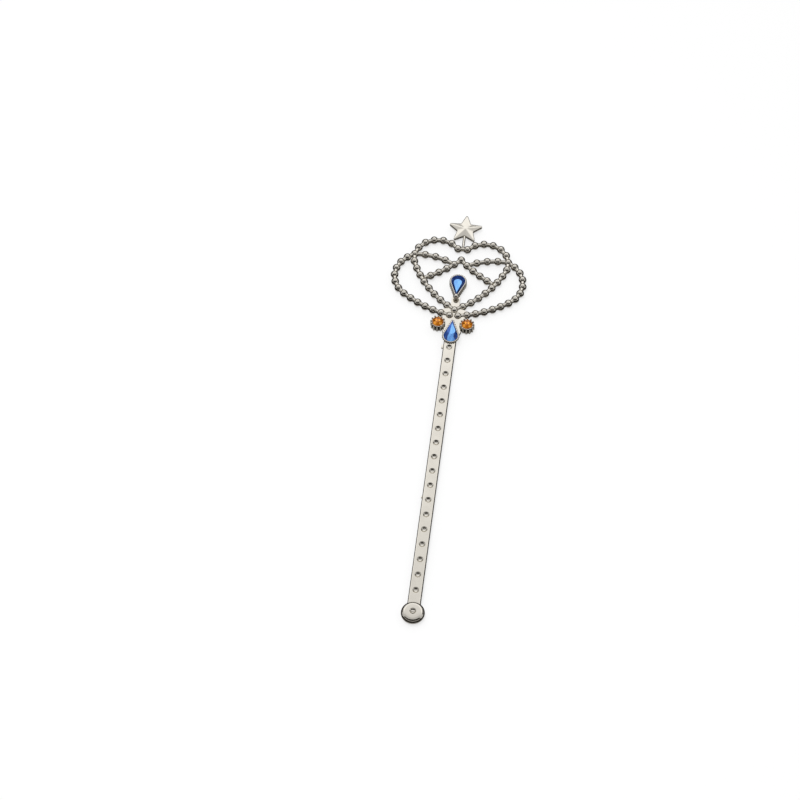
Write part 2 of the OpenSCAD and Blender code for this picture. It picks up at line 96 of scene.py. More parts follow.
class WandSizes(bpy.types.PropertyGroup):
    """Sizes of the wand's pieces: those of its solids, but for the drop stones' flat tops."""

    shaft_w: length("Shaft width", "Width of the flat shaft", 8.4)
    shaft_t: length("Shaft thickness", "Thickness of the flat shaft", 3.6)
    shaft_edge_r: length("Shaft edge", "Radius of the shaft's long front edges", 1.0)
    back_edge_r: length("Back edge", "Radius of the shaft's long back edges", 0.25)
    dimple_n: count("Dimples", "Dimples in the row down the shaft", 18)
    dimple_pitch: length("Dimple spacing", "Distance from one dimple to the next", 11.2)
    dimple_d: length("Dimple width", "Width of a dimple at the surface", 4.1)
    dimple_depth: length("Dimple depth", "Depth of a dimple", 1.2)
    dimple_lip: length("Dimple lip", "Radius that softens a dimple's edge", 0.16)
    dimple_offset: length("First dimple", "From the button's centre to the first dimple", 15.5)
    eye_step: length("Eye step", "From the last dimple to the eye at the shaft's end", 9.0)
    button_d: length("Button diameter", "Diameter of the end button", 15.0)
    lap_back: length("Lap length", "Length of the lap behind the eye", 8.0)
    tail_t: length("Lap thickness", "Thickness of the head's tail under the shaft", 1.6)
    seat_gap: length("Seat gap", "Gap where two pieces meet", 0.04)
    low_gate_y: length("Low gate place", "From the button's centre to the lower gate mark", 85.0)
    low_gate_l: length("Low gate length", "Length of the lower gate mark", 1.6)
    low_gate_out: length("Low gate reach", "How far the lower gate mark stands out", 0.7)
    top_gate_y: length("Top gate place", "From the upper gate mark to the eye", 8.4)
    top_gate_l: length("Top gate length", "Length of the upper gate mark", 3.0)
    top_gate_out: length("Top gate reach", "How far the upper gate mark stands out", 1.2)
    gate_t: length("Gate thickness", "Thickness of the gate marks", 1.0)

    bead_d: length("Bead diameter", "Diameter of a bead", 5.4)
    neck_d: length("Neck diameter", "Diameter of the necks between beads", 3.0)
    neck_flare: bpy.props.FloatProperty(
        name="Neck flare", description="How much wider a neck is at its ends", default=0.22
    )
    head_rise: length("Head rise", "From the eye to the lowest beads of the outer strands", 19.0)
    dip_x: length("Dip", "Half the space between the beads in the heart's dip", 3.3)
    heart_lobe_x: length("Heart lobe X", "Heart lobe's centre from the middle", 16.4)
    heart_lobe_y: length("Heart lobe Y", "Heart lobe's centre above the lowest beads", 48.8)
    heart_lobe_r: length("Heart lobe radius", "Radius of the heart's lobes", 16.6)
    heart_side_r: length("Heart side radius", "Radius of the heart's long sides", 78.0)
    heart_foot: length("Heart foot", "Height of the heart's lowest bead", 4.9)
    outer_lobe_x: length("Outer lobe X", "Outer lobe's centre from the middle", 24.2)
    outer_lobe_y: length("Outer lobe Y", "Outer lobe's centre above the lowest beads", 31.9)
    outer_lobe_r: length("Outer lobe radius", "Radius of the outer lobes", 20.5)
    outer_start: angle("Outer start", "Angle of the outer strand's first bead", 49.0)
    outer_foot_x: length("Outer foot", "Last outer bead from the middle", 2.9)
    outer_side_r: length("Outer side radius", "Radius of the outer strand's lower sweep", 86.0)
    arch_top: length("Arch top", "Height of the arch's top bead", 49.2)
    arch_r: length("Arch radius", "Radius of the arch's hollow sides", 90.0)
    lobe_r: length("Inner lobe radius", "Radius of the inner lobes", 46.0)

    drop_w: length("Drop width", "Width of a drop stone", 9.8)
    drop_l: length("Drop length", "Length of a drop stone", 17.8)
    drop_crown: length("Drop crown", "Height of a drop stone's crown", 2.0)
    drop_table_w: length("Drop table width", "Width of a drop stone's flat top", 5.6)
    drop_table_l: length("Drop table length", "Length of a drop stone's flat top", 11.7)
    drop_table_shift: length("Drop table shift", "How far a flat top sits towards the point", 2.8)
    round_d: length("Round diameter", "Diameter of a round stone", 7.8)
    round_crown: length("Round crown", "Height of a round stone's crown", 1.9)
    round_waist_d: length("Round waist", "Diameter of a round stone half way up its crown", 6.2)
    round_waist: length("Round waist height", "Height of that waist above the edge", 1.0)
    round_table_d: length("Round table", "Diameter of a round stone's flat top", 3.6)
    girdle_t: length("Stone edge", "Height of a stone's straight edge", 0.7)
    stone_edge_r: length("Facet edge", "Width of the soft edge between two facets", 0.05)
    upper_rise: length("Upper stone rise", "From the eye to the upper stone's round end", 47.5)
    round_x: length("Round stone X", "Round stones from the middle", 10.0)
    round_rise: length("Round stone rise", "From the eye to the round stones", 10.8)
    stone_clear: length("Stone clearance", "Clearance round a stone in its setting", 0.06)

    bezel_t: length("Setting wall", "Thickness of a setting's wall", 0.6)
    tray_floor: length("Tray floor", "Floor of the lower setting over the shaft's end", 0.4)
    rib_d: length("Rib diameter", "Diameter of the ribs round a drop setting", 0.9)
    drop_ribs: count("Round-end ribs", "Ribs round a drop setting's curved end", 17)
    side_ribs: count("Side ribs", "Ribs along each side of a drop setting", 7)
    claw_n: count("Claws", "Claws round a round setting", 12)
    claw_d: length("Claw diameter", "Diameter of a round setting's claws", 1.2)
    claw_rise: length("Claw rise", "How far the claws reach above the rim", 0.2)
    tip_bead_d: length("Tip bead", "Diameter of the bead at the upper stone's point", 4.2)
    tip_bead_out: length("Tip bead reach", "How far that bead's centre lies past the point", 0.6)

    star_r: length("Star radius", "From the star's centre to its tips", 12.0)
    star_notch_r: length("Star notch", "From the star's centre to its notches", 5.9)
    star_rise: length("Star rise", "From the lowest beads to the star's centre", 76.8)
    star_edge_t: length("Star edge", "Thickness of the star at its edge", 2.0)
    star_dome: length("Star dome", "Height of the star's middle above its edge", 1.0)
    star_tip_r: length("Star tip", "Radius of the star's rounded tips", 0.8)
    star_soft: length("Star softness", "Radius that softens the star's ridges and valleys", 0.45)
    stem_d: length("Stem diameter", "Diameter of the star's stem", 1.8)
    yoke_t: length("Yoke thickness", "Thickness of the head's base plate", 2.4)
    yoke_edge_r: length("Yoke edge", "Radius of the base plate's edges", 0.18)
    peg_d: length("Peg diameter", "Diameter of the peg that pins the shaft to the head", 2.8)


class WandFinishes(bpy.types.PropertyGroup):
    """Colours of the wand's finishes and of its stage."""

    plate: colour("Plating", "Bright plated silver", (0.75, 0.715, 0.645))
    plate_shade: colour("Plating shade", "Plating where it is thin or handled", (0.61, 0.58, 0.525))
    # the blue stone's colours: a painted shade colour, a middle colour and a painted highlight
    # colour, picked by each facet's painted light
    blue_painted_shade: colour("Blue, deep", "Blue stone's deep facets", (0.008, 0.030, 0.165))
    blue_mid: colour("Blue, middle", "Blue stone's middle facets", (0.030, 0.125, 0.50))
    blue_painted_highlight: colour("Blue, bright", "Blue stone's bright facets", (0.20, 0.50, 0.95))
    # the amber stone's colours: a painted shade colour, a middle colour and a painted highlight
    # colour, picked by each facet's painted light
    amber_painted_shade: colour("Amber, deep", "Amber stone's deep facets", (0.10, 0.030, 0.003))
    amber_mid: colour("Amber, middle", "Amber stone's middle facets", (0.60, 0.175, 0.008))
    amber_painted_highlight: colour("Amber, bright", "Amber stone's bright facets", (1.0, 0.42, 0.035))
    floor: colour("Floor", "Pale floor", (0.90, 0.90, 0.90))
    # the dark and pale card colours also colour the sheet that paints a dark floor into the
    # plating's reflections
    card_and_painted_sheet_dark: colour("Card, dark", "Dark part of the cards round the stage", (0.022, 0.020, 0.018))
    card_mid: colour("Card, middle", "Lower part of the upright cards", (0.075, 0.071, 0.067))
    card_and_painted_sheet_pale: colour("Card, pale", "Pale part of the cards round the stage", (0.50, 0.49, 0.475))


class Plan:
    """Where the pieces go, worked out from the sizes in the frame of the solids."""

    # steps from bead to bead along each strand
    HEART_N, OUTER_N, ARCH_N, LOBE_N = 15, 12, 5, 4
    # beads of the heart, counted from its dip, at which other strands meet it
    SHOULDER_N, LANDING_N = 6, 9

    def __init__(self, s):
        eye = s.dimple_offset + (s.dimple_n - 1) * s.dimple_pitch + s.eye_step
        head = eye + s.head_rise
        star = head + s.star_rise
        mid = (star + s.star_r - s.button_d / 2) / 2
        self.button_y, self.eye_y = -mid, eye - mid
        self.head_y, self.star_y = head - mid, star - mid
        self.upper_y = self.eye_y + s.upper_rise
        self.round_y = self.eye_y + s.round_rise
        self.bead_r = s.bead_d / 2
        self.shaft_z = self.bead_r - s.shaft_t / 2
        self.shaft_top = self.bead_r + s.shaft_t / 2
        self.lap_z = self.shaft_z + s.tail_t
        self.yoke_top = self.shaft_z + s.yoke_t
        self.seat_z = self.shaft_top + s.tray_floor
        self.rim_z = self.seat_z + s.girdle_t
        base = Vector((0, self.head_y))
        start = math.pi - math.acos((s.heart_lobe_x - s.dip_x) / s.heart_lobe_r)
        self.heart = sweep_points(
            base + Vector((s.heart_lobe_x, s.heart_lobe_y)), s.heart_lobe_r, start,
            base + Vector((0, s.heart_foot)), s.heart_side_r, self.HEART_N,
        )
        self.outer = sweep_points(
            base + Vector((s.outer_lobe_x, s.outer_lobe_y)), s.outer_lobe_r, s.outer_start,
            base + Vector((s.outer_foot_x, 0)), s.outer_side_r, self.OUTER_N,
        )
        self.tie = self.heart[self.SHOULDER_N]
        landing = (self.heart[self.LANDING_N] + self.heart[self.LANDING_N + 1]) / 2
        self.arch = bow_points(base + Vector((0, s.arch_top)), landing, s.arch_r, self.ARCH_N)
        self.lobe = bow_points(self.tie, self.arch[1], s.lobe_r, self.LOBE_N)


def polar(centre, radius, turn):
    return Vector((centre[0] + radius * math.cos(turn), centre[1] + radius * math.sin(turn)))


def circle(centre, radius, n, first=0.0):
    """n even points round a circle; first is a share of a step."""
    return [polar(centre, radius, math.tau * (i + first) / n) for i in range(n)]


def heading(v):
    return math.atan2(v[1], v[0])


def flipped(points):
    return [Vector((-p[0], p[1])) for p in points]


def spaced(first, last, n):
    """n even steps from first to last, first left out."""
    return [first + (last - first) * i / n for i in range(1, n + 1)]


def arc(x, z, r, start, sweep, n):
    """Points clockwise about (x, z), from the angle start, in n steps."""
    return [tuple(polar((x, z), r, start - sweep * i / n)) for i in range(n + 1)]


def meet(c, rc, d, rd):
    """Where a circle about c meets one about d, on the right-hand side of c to d."""
    w = (d - c).length
    u = (d - c) / w
    a = (rc * rc - rd * rd + w * w) / (2 * w)
    return c + a * u + math.sqrt(rc * rc - a * a) * Vector((u[1], -u[0]))


def sweep_points(lobe, lobe_r, start, foot, side_r, n):
    """Evenly spaced points clockwise round a lobe, then along a wide arc that ends at foot."""
    hub = meet(lobe, side_r - lobe_r, foot, side_r)
    turn, end = heading(lobe - hub), heading(foot - hub)
    lobe_len = lobe_r * (start - turn)
    step = (lobe_len + side_r * (turn - end)) / n
    points = []
    for i in range(n + 1):
        run = i * step
        if run < lobe_len:
            points.append(polar(lobe, lobe_r, start - run / lobe_r))
        else:
            points.append(polar(hub, side_r, turn - (run - lobe_len) / side_r))
    return points


def bow_points(p, q, r, n):
    """Evenly spaced points on an arc from p to q that turns left as it goes."""
    w = (q - p).length
    u = (q - p) / w
    hub = (p + q) / 2 + math.sqrt(r * r - w * w / 4) * Vector((-u[1], u[0]))
    first, half = heading(p - hub), math.asin(w / 2 / r)
    return [polar(hub, r, first + 2 * half * i / n) for i in range(n + 1)]


def drop_outline(r, tip, round_steps, side_steps):
    """Points round a drop about the origin, from its point at +Y, counter-clockwise."""
    lean = math.acos(r / tip)
    first, sweep = QUARTER + lean, 2 * (math.pi - lean)
    point = Vector((0, tip))
    bend = [polar((0, 0), r, first + sweep * i / round_steps) for i in range(round_steps + 1)]
    points = [point.lerp(bend[0], i / side_steps) for i in range(side_steps)] + bend
    return points + [bend[-1].lerp(point, i / side_steps) for i in range(1, side_steps)]


def place_drop(points, y, point_up):
    """Moves a drop's outline to its place, turned so that its point is up or down the wand."""
    return [Vector((p[0], y + p[1])) if point_up else Vector((-p[0], y - p[1])) for p in points]


class Value:
    """A node's output as a number for Python arithmetic; [key] is another output of that node."""

    def __init__(self, nodes, socket):
        self.nodes, self.socket = nodes, socket

    def __getitem__(self, key):
        return Value(self.nodes, self.socket.node.outputs[key])

    def __add__(self, other):
        return self.nodes.calc("ADD", self, other)

    def __sub__(self, other):
        return self.nodes.calc("SUBTRACT", self, other)

    def __rsub__(self, other):
        return self.nodes.calc("SUBTRACT", other, self)

    def __mul__(self, other):
        return self.nodes.calc("MULTIPLY", self, other)

    __radd__ = __add__
    __rmul__ = __mul__


class Nodes:
    """Builds one node tree."""

    def __init__(self, tree):
        self.tree = tree

    def node(self, kind, sockets=None, **settings):
        """A new node, as the Value of its first output."""
        made = self.tree.nodes.new(kind)
        for name, value in settings.items():
            setattr(made, name, value)
        return self.feed(made, sockets or {})

    def feed(self, made, sockets):
        """Links or sets a node's inputs; a list is several links into one input."""
        for key, given in sockets.items():
            socket = made.inputs[key]
            for value in given if isinstance(given, list) else [given]:
                if isinstance(value, Value):
                    self.tree.links.new(value.socket, socket)
                elif socket.type == "RGBA":
                    socket.default_value = (*value, 1.0)
                else:
                    socket.default_value = value
        return Value(self, made.outputs[0]) if made.outputs else None

    def calc(self, operation, a, b=0.0):
        return self.node("ShaderNodeMath", {0: a, 1: b}, operation=operation)


class Paint(Nodes):
    """Builds the shader of one material or of the world."""

    def __init__(self, owner):
        owner.use_nodes = True
        super().__init__(owner.node_tree)
        self.tree.nodes.clear()

    def noise(self, place, scale, detail, roughness):
        sockets = {"Vector": place, "Scale": scale, "Detail": detail, "Roughness": roughness}
        return self.node("ShaderNodeTexNoise", sockets)

    def mix(self, share, low, high):
        return self.node("ShaderNodeMix", {"Factor": share, 6: low, 7: high}, data_type="RGBA")[2]

    def spread(self, value, low, high, to_low=0.0, to_high=1.0):
        """Takes low to high over to to_low to to_high, and holds it there past both."""
        ends = {"From Min": low, "From Max": high, "To Min": to_low, "To Max": to_high}
        return self.node("ShaderNodeMapRange", {"Value": value, **ends}, clamp=True)

    def parts(self, vector):
        return self.node("ShaderNodeSeparateXYZ", {0: vector})


def material(name, build, *given):
    """The material of that name, whose shader build makes when it is first wanted."""
    made = bpy.data.materials.get(name)
    if made is None:
        made = bpy.data.materials.new(name)
        paint = Paint(made)
        paint.node("ShaderNodeOutputMaterial", {"Surface": build(paint, *given)})
    return made


def plating(paint, look):
    """Bright vacuum plating on moulded plastic: warm silver with faint haze and moulding ripple."""
    place = paint.node("ShaderNodeTexCoord")["Object"]
    cloud = paint.noise(place, 160.0, 3.0, 0.55)
    specks = paint.noise(place, 1500.0, 2.0, 0.6)
    ripple = paint.noise(place, 420.0, 2.0, 0.5)
    haze = paint.spread(cloud, 0.38, 0.68)
    shade = paint.spread(cloud * 0.7 + specks * 0.3, 0.40, 0.66, 0.0, 0.35)
    return paint.node("ShaderNodeBsdfPrincipled", {
        "Base Color": paint.mix(shade, look.plate, look.plate_shade),
        "Metallic": 1.0,
        "Roughness": haze * 0.05 + specks * 0.05 + 0.03,
        "Normal": paint.node(
            "ShaderNodeBump", {"Strength": 0.10, "Distance": 0.12 * MM, "Height": ripple}
        ),
    })


def acrylic_with_painted_facet_light(paint, deep, middle, bright):
    """Foil-backed acrylic whose facets carry painted light: each facet's painted reflection or
    shade picks its colour, with faint flow inside.
    """
    place = paint.node("ShaderNodeTexCoord")["Object"]
    facet = paint.node("ShaderNodeAttribute", attribute_name="facet")["Fac"]
    flow = paint.noise(place, 420.0, 3.0, 0.55)
    scuff = paint.noise(place, 2600.0, 2.0, 0.6)
    # glow is each facet's painted light (painted reflection and shade) with a little random flow
    glow = paint.spread(facet + (flow - 0.5) * 0.35, 0.0, 1.0)
    lower = paint.mix(paint.spread(glow, 0.0, 0.5), deep, middle)
    return paint.node("ShaderNodeBsdfPrincipled", {
        "Base Color": paint.mix(paint.spread(glow, 0.5, 1.0), lower, bright),
        "Metallic": 0.35,
        "Specular IOR Level": 0.0,
        "Roughness": paint.spread(scuff, 0.45, 0.75, 0.06, 0.16),
        "Coat Weight": 1.0,
        "Coat Roughness": 0.03,
        "Coat IOR": 1.49,
    })


def finish(slot):
    """The material that goes with a slot."""
    look = bpy.context.scene.wand_finishes
    if slot == "blue_stone":
        shades = look.blue_painted_shade, look.blue_mid, look.blue_painted_highlight
        return material("sapphire_acrylic", acrylic_with_painted_facet_light, *shades)
    if slot == "amber_stone":
        shades = look.amber_painted_shade, look.amber_mid, look.amber_painted_highlight
        return material("amber_acrylic", acrylic_with_painted_facet_light, *shades)
    return material("plated_silver", plating, look)


def piece(name, mesh, slot, *nodes):
    """Puts a mesh into the scene as a piece, which may stand for CAD nodes."""
    made = bpy.data.objects.new(name, mesh)
    bpy.context.scene.collection.objects.link(made)
    if not mesh.materials:
        mesh.materials.append(finish(slot))
    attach(made, BODY)
    if nodes:
        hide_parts(*nodes)


def mesh_from(bm, name, smooth_below=None):
    """A mesh from bm with outward faces, smooth where faces meet below that angle in degrees."""
    bmesh.ops.recalc_face_normals(bm, faces=bm.faces)
    mesh = bpy.data.meshes.new(name)
    bm.to_mesh(mesh)
    bm.free()
    if smooth_below:
        mesh.shade_smooth()
        mesh.set_sharp_from_angle(angle=math.radians(smooth_below))
    else:
        mesh.shade_flat()
    return mesh


def bevel(bm, edges, width, segments=2, profile=0.5):
    bmesh.ops.bevel(
        bm, geom=edges, offset=width, segments=segments, profile=profile, affect="EDGES",
        clamp_overlap=True,
    )


def skin(bm, loops, close_last=True):
    """Joins equal loops of points with quads, and closes the first and the last."""
    rows = [[bm.verts.new(p) for p in loop] for loop in loops]
    size = len(rows[0])
    for a, b in zip(rows, rows[1:]):
        for i in range(size):
            j = (i + 1) % size
            bm.faces.new((a[i], a[j], b[j], b[i]))
    bm.faces.new(list(reversed(rows[0])))
    if close_last:
        bm.faces.new(rows[-1])
    return rows


def lathe(bm, profile, centre, steps):
    """Turns a profile of (radius, height) about an upright axis; radius 0 is a pole."""
    rows = []
    for radius, height in profile:
        points = circle(centre, radius, steps if radius else 1)
        rows.append([bm.verts.new((*p, height)) for p in points])
    for a, b in zip(rows, rows[1:]):
        for i in range(steps):
            j = (i + 1) % steps
            corners = (a[i % len(a)], a[j % len(a)], b[j % len(b)], b[i % len(b)])
            bm.faces.new(list(dict.fromkeys(corners)))


class ShapeTree(Nodes):
    """A Geometry Nodes tree with named inputs, which is baked on a guide mesh."""

    def __init__(self, name, inputs):
        super().__init__(bpy.data.node_groups.new(name, "GeometryNodeTree"))
        self.socket("Geometry", "Geometry")
        self.ids = {label: self.socket(label, kind).identifier for label, kind in inputs.items()}
        self.socket("Geometry", "Geometry", "OUTPUT")
        self.given = self.node("NodeGroupInput")

    def socket(self, label, kind, way="INPUT"):
        """A named socket of the whole tree."""
        kind = "NodeSocket" + kind
        return self.tree.interface.new_socket(label, in_out=way, socket_type=kind)

    def vector(self, x, y, z):
        return self.node("ShaderNodeCombineXYZ", {0: x, 1: y, 2: z})

    def close(self, geometry):
        """Realizes the geometry, smooths it but for its sharp edges, and sets its material."""
        crease = self.node("GeometryNodeInputMeshEdgeAngle")["Unsigned Angle"]
        crisp = self.calc("GREATER_THAN", crease, math.radians(SMOOTH_BELOW))
        whole = self.node("GeometryNodeRealizeInstances", {"Geometry": geometry})
        whole = self.node("GeometryNodeSetShadeSmooth", {"Geometry": whole, "Shade Smooth": True})
        edges = {"Geometry": whole, "Selection": crisp, "Shade Smooth": False}
        whole = self.node("GeometryNodeSetShadeSmooth", edges, domain="EDGE")
        cover = {"Geometry": whole, "Material": self.given["Material"]}
        whole = self.node("GeometryNodeSetMaterial", cover)
        self.node("NodeGroupOutput", {"Geometry": whole})

    def bake(self, mesh, values):
        """The plain mesh that the tree makes of a guide mesh."""
        guide = bpy.data.objects.new(mesh.name + "_guide", mesh)
        bpy.context.scene.collection.objects.link(guide)
        modifier = guide.modifiers.new("Tree", "NODES")
        modifier.node_group = self.tree
        for label, value in values.items():
            modifier[self.ids[label]] = value
        bpy.context.view_layer.update()
        seen = guide.evaluated_get(bpy.context.evaluated_depsgraph_get())
        made = bpy.data.meshes.new_from_object(seen)
        made.name = mesh.name
        bpy.data.objects.remove(guide)
        bpy.data.meshes.remove(mesh)
        return made


def strand_tree():
    """Beads on a path's own points, with a waisted neck along each of its edges."""
    tree = ShapeTree("bead_strand", {
        "Bead Diameter": "Float", "Neck Diameter": "Float", "Neck Flare": "Float",
        "Bead Detail": "Int", "Neck Sides": "Int", "Material": "Material",
    })
    given, path = tree.given, tree.given["Geometry"]
    bead_r = given["Bead Diameter"] * 0.5
    ball = tree.node(
        "GeometryNodeMeshIcoSphere", {"Radius": bead_r, "Subdivisions": given["Bead Detail"]}
    )
    own = tree.node("GeometryNodeInputNamedAttribute", {"Name": "own"}, data_type="BOOLEAN")
    beads = tree.node(
        "GeometryNodeInstanceOnPoints",
        {"Points": path, "Selection": own["Attribute"], "Instance": ball},
    )

    # a neck one unit long and wide, widened towards its ends
    post = tree.node(
        "GeometryNodeMeshCylinder",
        {"Vertices": given["Neck Sides"], "Side Segments": NECK_RINGS, "Radius": 0.5, "Depth": 1.0},
        fill_type="NGON",
    )
    place = tree.node("ShaderNodeSeparateXYZ", {0: tree.node("GeometryNodeInputPosition")})
    reach = tree.calc("ABSOLUTE", place["Z"]) * 2.0
    widen = tree.calc("POWER", reach, 4.0) * given["Neck Flare"] + 1.0
    flared = tree.vector(place["X"] * widen, place["Y"] * widen, place["Z"])
    post = tree.node("GeometryNodeSetPosition", {"Geometry": post, "Position": flared})

    # the run along each edge travels with the edge's point
    ends = tree.node("GeometryNodeInputMeshEdgeVertices")
    run = tree.node(
        "ShaderNodeVectorMath", {0: ends["Position 2"], 1: ends["Position 1"]}, operation="SUBTRACT"
    )
    held = tree.tree.nodes.new("GeometryNodeCaptureAttribute")
    held.domain = "EDGE"
    held.capture_items.new("VECTOR", "Run")
    held = tree.feed(held, {"Geometry": path, "Run": run})
    edges = tree.node("GeometryNodeMeshToPoints", {"Mesh": held["Geometry"]}, mode="EDGES")
    turn = tree.node("FunctionNodeAlignRotationToVector", {"Vector": held["Run"]}, axis="Z")
    whole = tree.node("ShaderNodeVectorMath", {0: held["Run"]}, operation="LENGTH")["Value"]
    # a neck stops half way in to the middle of each bead
    size = tree.vector(given["Neck Diameter"], given["Neck Diameter"], whole - bead_r)
    necks = tree.node(
        "GeometryNodeInstanceOnPoints",
        {"Points": edges, "Instance": post, "Rotation": turn, "Scale": size},
    )
    tree.close(tree.node("GeometryNodeJoinGeometry", {"Geometry": [beads, necks]}))
    return tree


def post_tree():
    """A row of round posts with domed tops, one on each guide point."""
    tree = ShapeTree("post_row", {
        "Post Diameter": "Float", "Post Height": "Float", "Post Sides": "Int",
        "Material": "Material",
    })
    given = tree.given
    height, sides, radius = given["Post Height"], given["Post Sides"], given["Post Diameter"] * 0.5
    post = tree.node(
        "GeometryNodeMeshCylinder", {"Vertices": sides, "Radius": radius, "Depth": height},
        fill_type="NGON",
    )
    ball = tree.node(
        "GeometryNodeMeshUVSphere", {"Segments": sides, "Rings": POST_RINGS, "Radius": radius}
    )
    raised = [
        tree.node("GeometryNodeTransform", {"Geometry": shape, "Translation": tree.vector(0, 0, z)})
        for shape, z in ((post, height * 0.5), (ball, height))
    ]
    shape = tree.node("GeometryNodeJoinGeometry", {"Geometry": raised})
    tree.close(tree.node(
        "GeometryNodeInstanceOnPoints", {"Points": given["Geometry"], "Instance": shape}
    ))
    return tree


class WAND_OT_bead_strands(bpy.types.Operator):
    """Strings the beads of the heart, the outer wings, the arch and the inner lobes"""

    bl_idname = "wand.bead_strands"
    bl_label = "Bead Strands"

    def execute(self, context):
        s = context.scene.wand_sizes
        plan = Plan(s)
        tree = strand_tree()
        top = plan.heart[: plan.SHOULDER_N + 1]
        side = plan.heart[plan.SHOULDER_N:]
        wing = [plan.tie] + plan.outer
        # each strand's points, and those that are beads of another piece
        strands = {
            "heart_top": (flipped(top)[::-1] + top, ()),
            "heart_side_right": (side, (0, -1)),
            "heart_side_left": (flipped(side), (0, -1)),
            "outer_strand_right": (wing, (0,)),
            "outer_strand_left": (flipped(wing), (0,)),
            "arch_strand": (flipped(plan.arch[1:])[::-1] + plan.arch, (0, -1)),
            "lobe_strand_right": (plan.lobe, (0, -1)),
            "lobe_strand_left": (flipped(plan.lobe), (0, -1)),
        }
        for name, (points, seats) in strands.items():
            mesh = bpy.data.meshes.new(name + "_beads")
            links = [(i, i + 1) for i in range(len(points) - 1)]
            mesh.from_pydata([(*p, plan.bead_r) for p in points], links, [])
            own = [True] * len(points)
            for seat in seats:
                own[seat] = False
            mesh.attributes.new("own", "BOOLEAN", "POINT").data.foreach_set("value", own)
            made = tree.bake(mesh, {
                "Bead Diameter": s.bead_d, "Neck Diameter": s.neck_d, "Neck Flare": s.neck_flare,
                "Bead Detail": BEAD_DETAIL, "Neck Sides": NECK_SIDES, "Material": finish("plated"),
            })
            piece(name + "_beads", made, "plated", name)
        return {"FINISHED"}


def soften(rise, lip):
    """rise where it is positive, with a rounded start of width lip."""
    if rise <= -lip:
        return 0.0
    if rise >= lip:
        return rise
    return (rise + lip) ** 2 / (4 * lip)


def dimple_drop(s, away):
    """How far the surface drops in a dimple, that far away from its middle."""
    ball = ((s.dimple_d / 2) ** 2 + s.dimple_depth ** 2) / (2 * s.dimple_depth)
    dip = math.sqrt(max(ball * ball - away * away, 0.0)) - (ball - s.dimple_depth)
    return soften(dip, s.dimple_lip)


class WAND_OT_handle(bpy.types.Operator):
    """Moulds the dimpled shaft with its button and gate marks"""

    bl_idname = "wand.handle"
    bl_label = "Handle"

    NEAR = 0.62  # half the length that is finely cut at a dimple, in dimple widths
    FINE, COARSE = 0.19 * MM, 1.6 * MM
    LAST_CUTS, END_CUTS = 6, 14
    FACE_CUTS, EDGE_CUTS, BACK_CUTS = 36, 8, 4
    DISH_CUTS, RIM_CUTS, BUTTON_SIDES = 20, 28, 96
    GATE_ROOT, GATE_EDGE = 0.5 * MM, 0.12 * MM

    def execute(self, context):
        s = context.scene.wand_sizes
        plan = Plan(s)
        bm = bmesh.new()
        self.shaft(bm, s, plan)
        self.button(bm, s, plan)
        self.gates(bm, s, plan)
        piece("handle_moulding", mesh_from(bm, "handle_moulding", 38), "plated", "handle")
        return {"FINISHED"}

    def shaft(self, bm, s, plan):
        rows = [plan.button_y + s.dimple_offset + i * s.dimple_pitch for i in range(s.dimple_n)]
        step_y = plan.eye_y - s.lap_back - s.seat_gap
        loops = []
        for y in self.stations(s, plan, rows, step_y):
            over = max(0.0, y - plan.eye_y) / (s.shaft_w / 2)
            narrow = math.sqrt(max(1 - over * over, 1e-4))
            low = plan.lap_z + s.seat_gap if y > step_y else plan.shaft_z
            off = min((y - row for row in rows), key=abs)
            loops.append(self.section(s, plan, y, off, narrow, low))
        skin(bm, loops)

    def stations(self, s, plan, rows, step_y):
        """Where the shaft is cut across: closely at each dimple, the lap and its round end."""
        near = s.dimple_d * self.NEAR
        cuts = [plan.button_y]
        for row in rows:
            gap = row - near - cuts[-1]
            cuts += spaced(cuts[-1], row - near, max(1, round(gap / self.COARSE)))
            cuts += spaced(row - near, row + near, round(2 * near / self.FINE))
        cuts += spaced(cuts[-1], plan.eye_y, self.LAST_CUTS)
        turns = spaced(0.0, QUARTER, self.END_CUTS)
        cuts += [plan.eye_y + s.shaft_w / 2 * math.sin(turn) for turn in turns]
        return sorted({*cuts, step_y - 1e-7, step_y + 1e-7})

    def section(self, s, plan, y, off, narrow, low):
        """The shaft's outline at y, which lies off from the middle of the nearest dimple."""
        top, half, edge, back = plan.shaft_top, s.shaft_w / 2, s.shaft_edge_r, s.back_edge_r
        across = [edge - half] + spaced(edge - half, half - edge, self.FACE_CUTS)
        face = [(x, top - dimple_drop(s, math.hypot(x, off))) for x in across]
        right = arc(half - edge, top - edge, edge, QUARTER, QUARTER, self.EDGE_CUTS)[1:]
        right += arc(half - back, low + back, back, 0.0, QUARTER, self.BACK_CUTS)
        left = [(-x, z) for x, z in reversed(right)]
        return [(x * narrow, y, z) for x, z in face + right + left]

    def button(self, bm, s, plan):
        r, half = s.button_d / 2, s.bead_d / 2
        dish = [0.0] + spaced(0.0, s.dimple_d * self.NEAR, self.DISH_CUTS)
        profile = [(x, s.bead_d - dimple_drop(s, x)) for x in dish]
        profile += arc(r - half, half, half, QUARTER, math.pi, self.RIM_CUTS)
        lathe(bm, profile + [(0, 0.0)], (0, plan.button_y), self.BUTTON_SIDES)

    def gates(self, bm, s, plan):
        for y, size, out in (
            (plan.button_y + s.low_gate_y, s.low_gate_l, s.low_gate_out),
            (plan.eye_y - s.top_gate_y, s.top_gate_l, s.top_gate_out),
        ):
            corners = bmesh.ops.create_cube(bm, size=1.0)["verts"]
            x = -s.shaft_w / 2 - (out - self.GATE_ROOT) / 2
            scale = Matrix.Diagonal((out + self.GATE_ROOT, size, s.gate_t, 1.0))
            shift = Matrix.Translation((x, y, plan.bead_r + s.gate_t / 2))
            bmesh.ops.transform(bm, matrix=shift @ scale, verts=corners)
            edges = list({e for v in corners for e in v.link_edges})
            bevel(bm, edges, self.GATE_EDGE, profile=0.6)


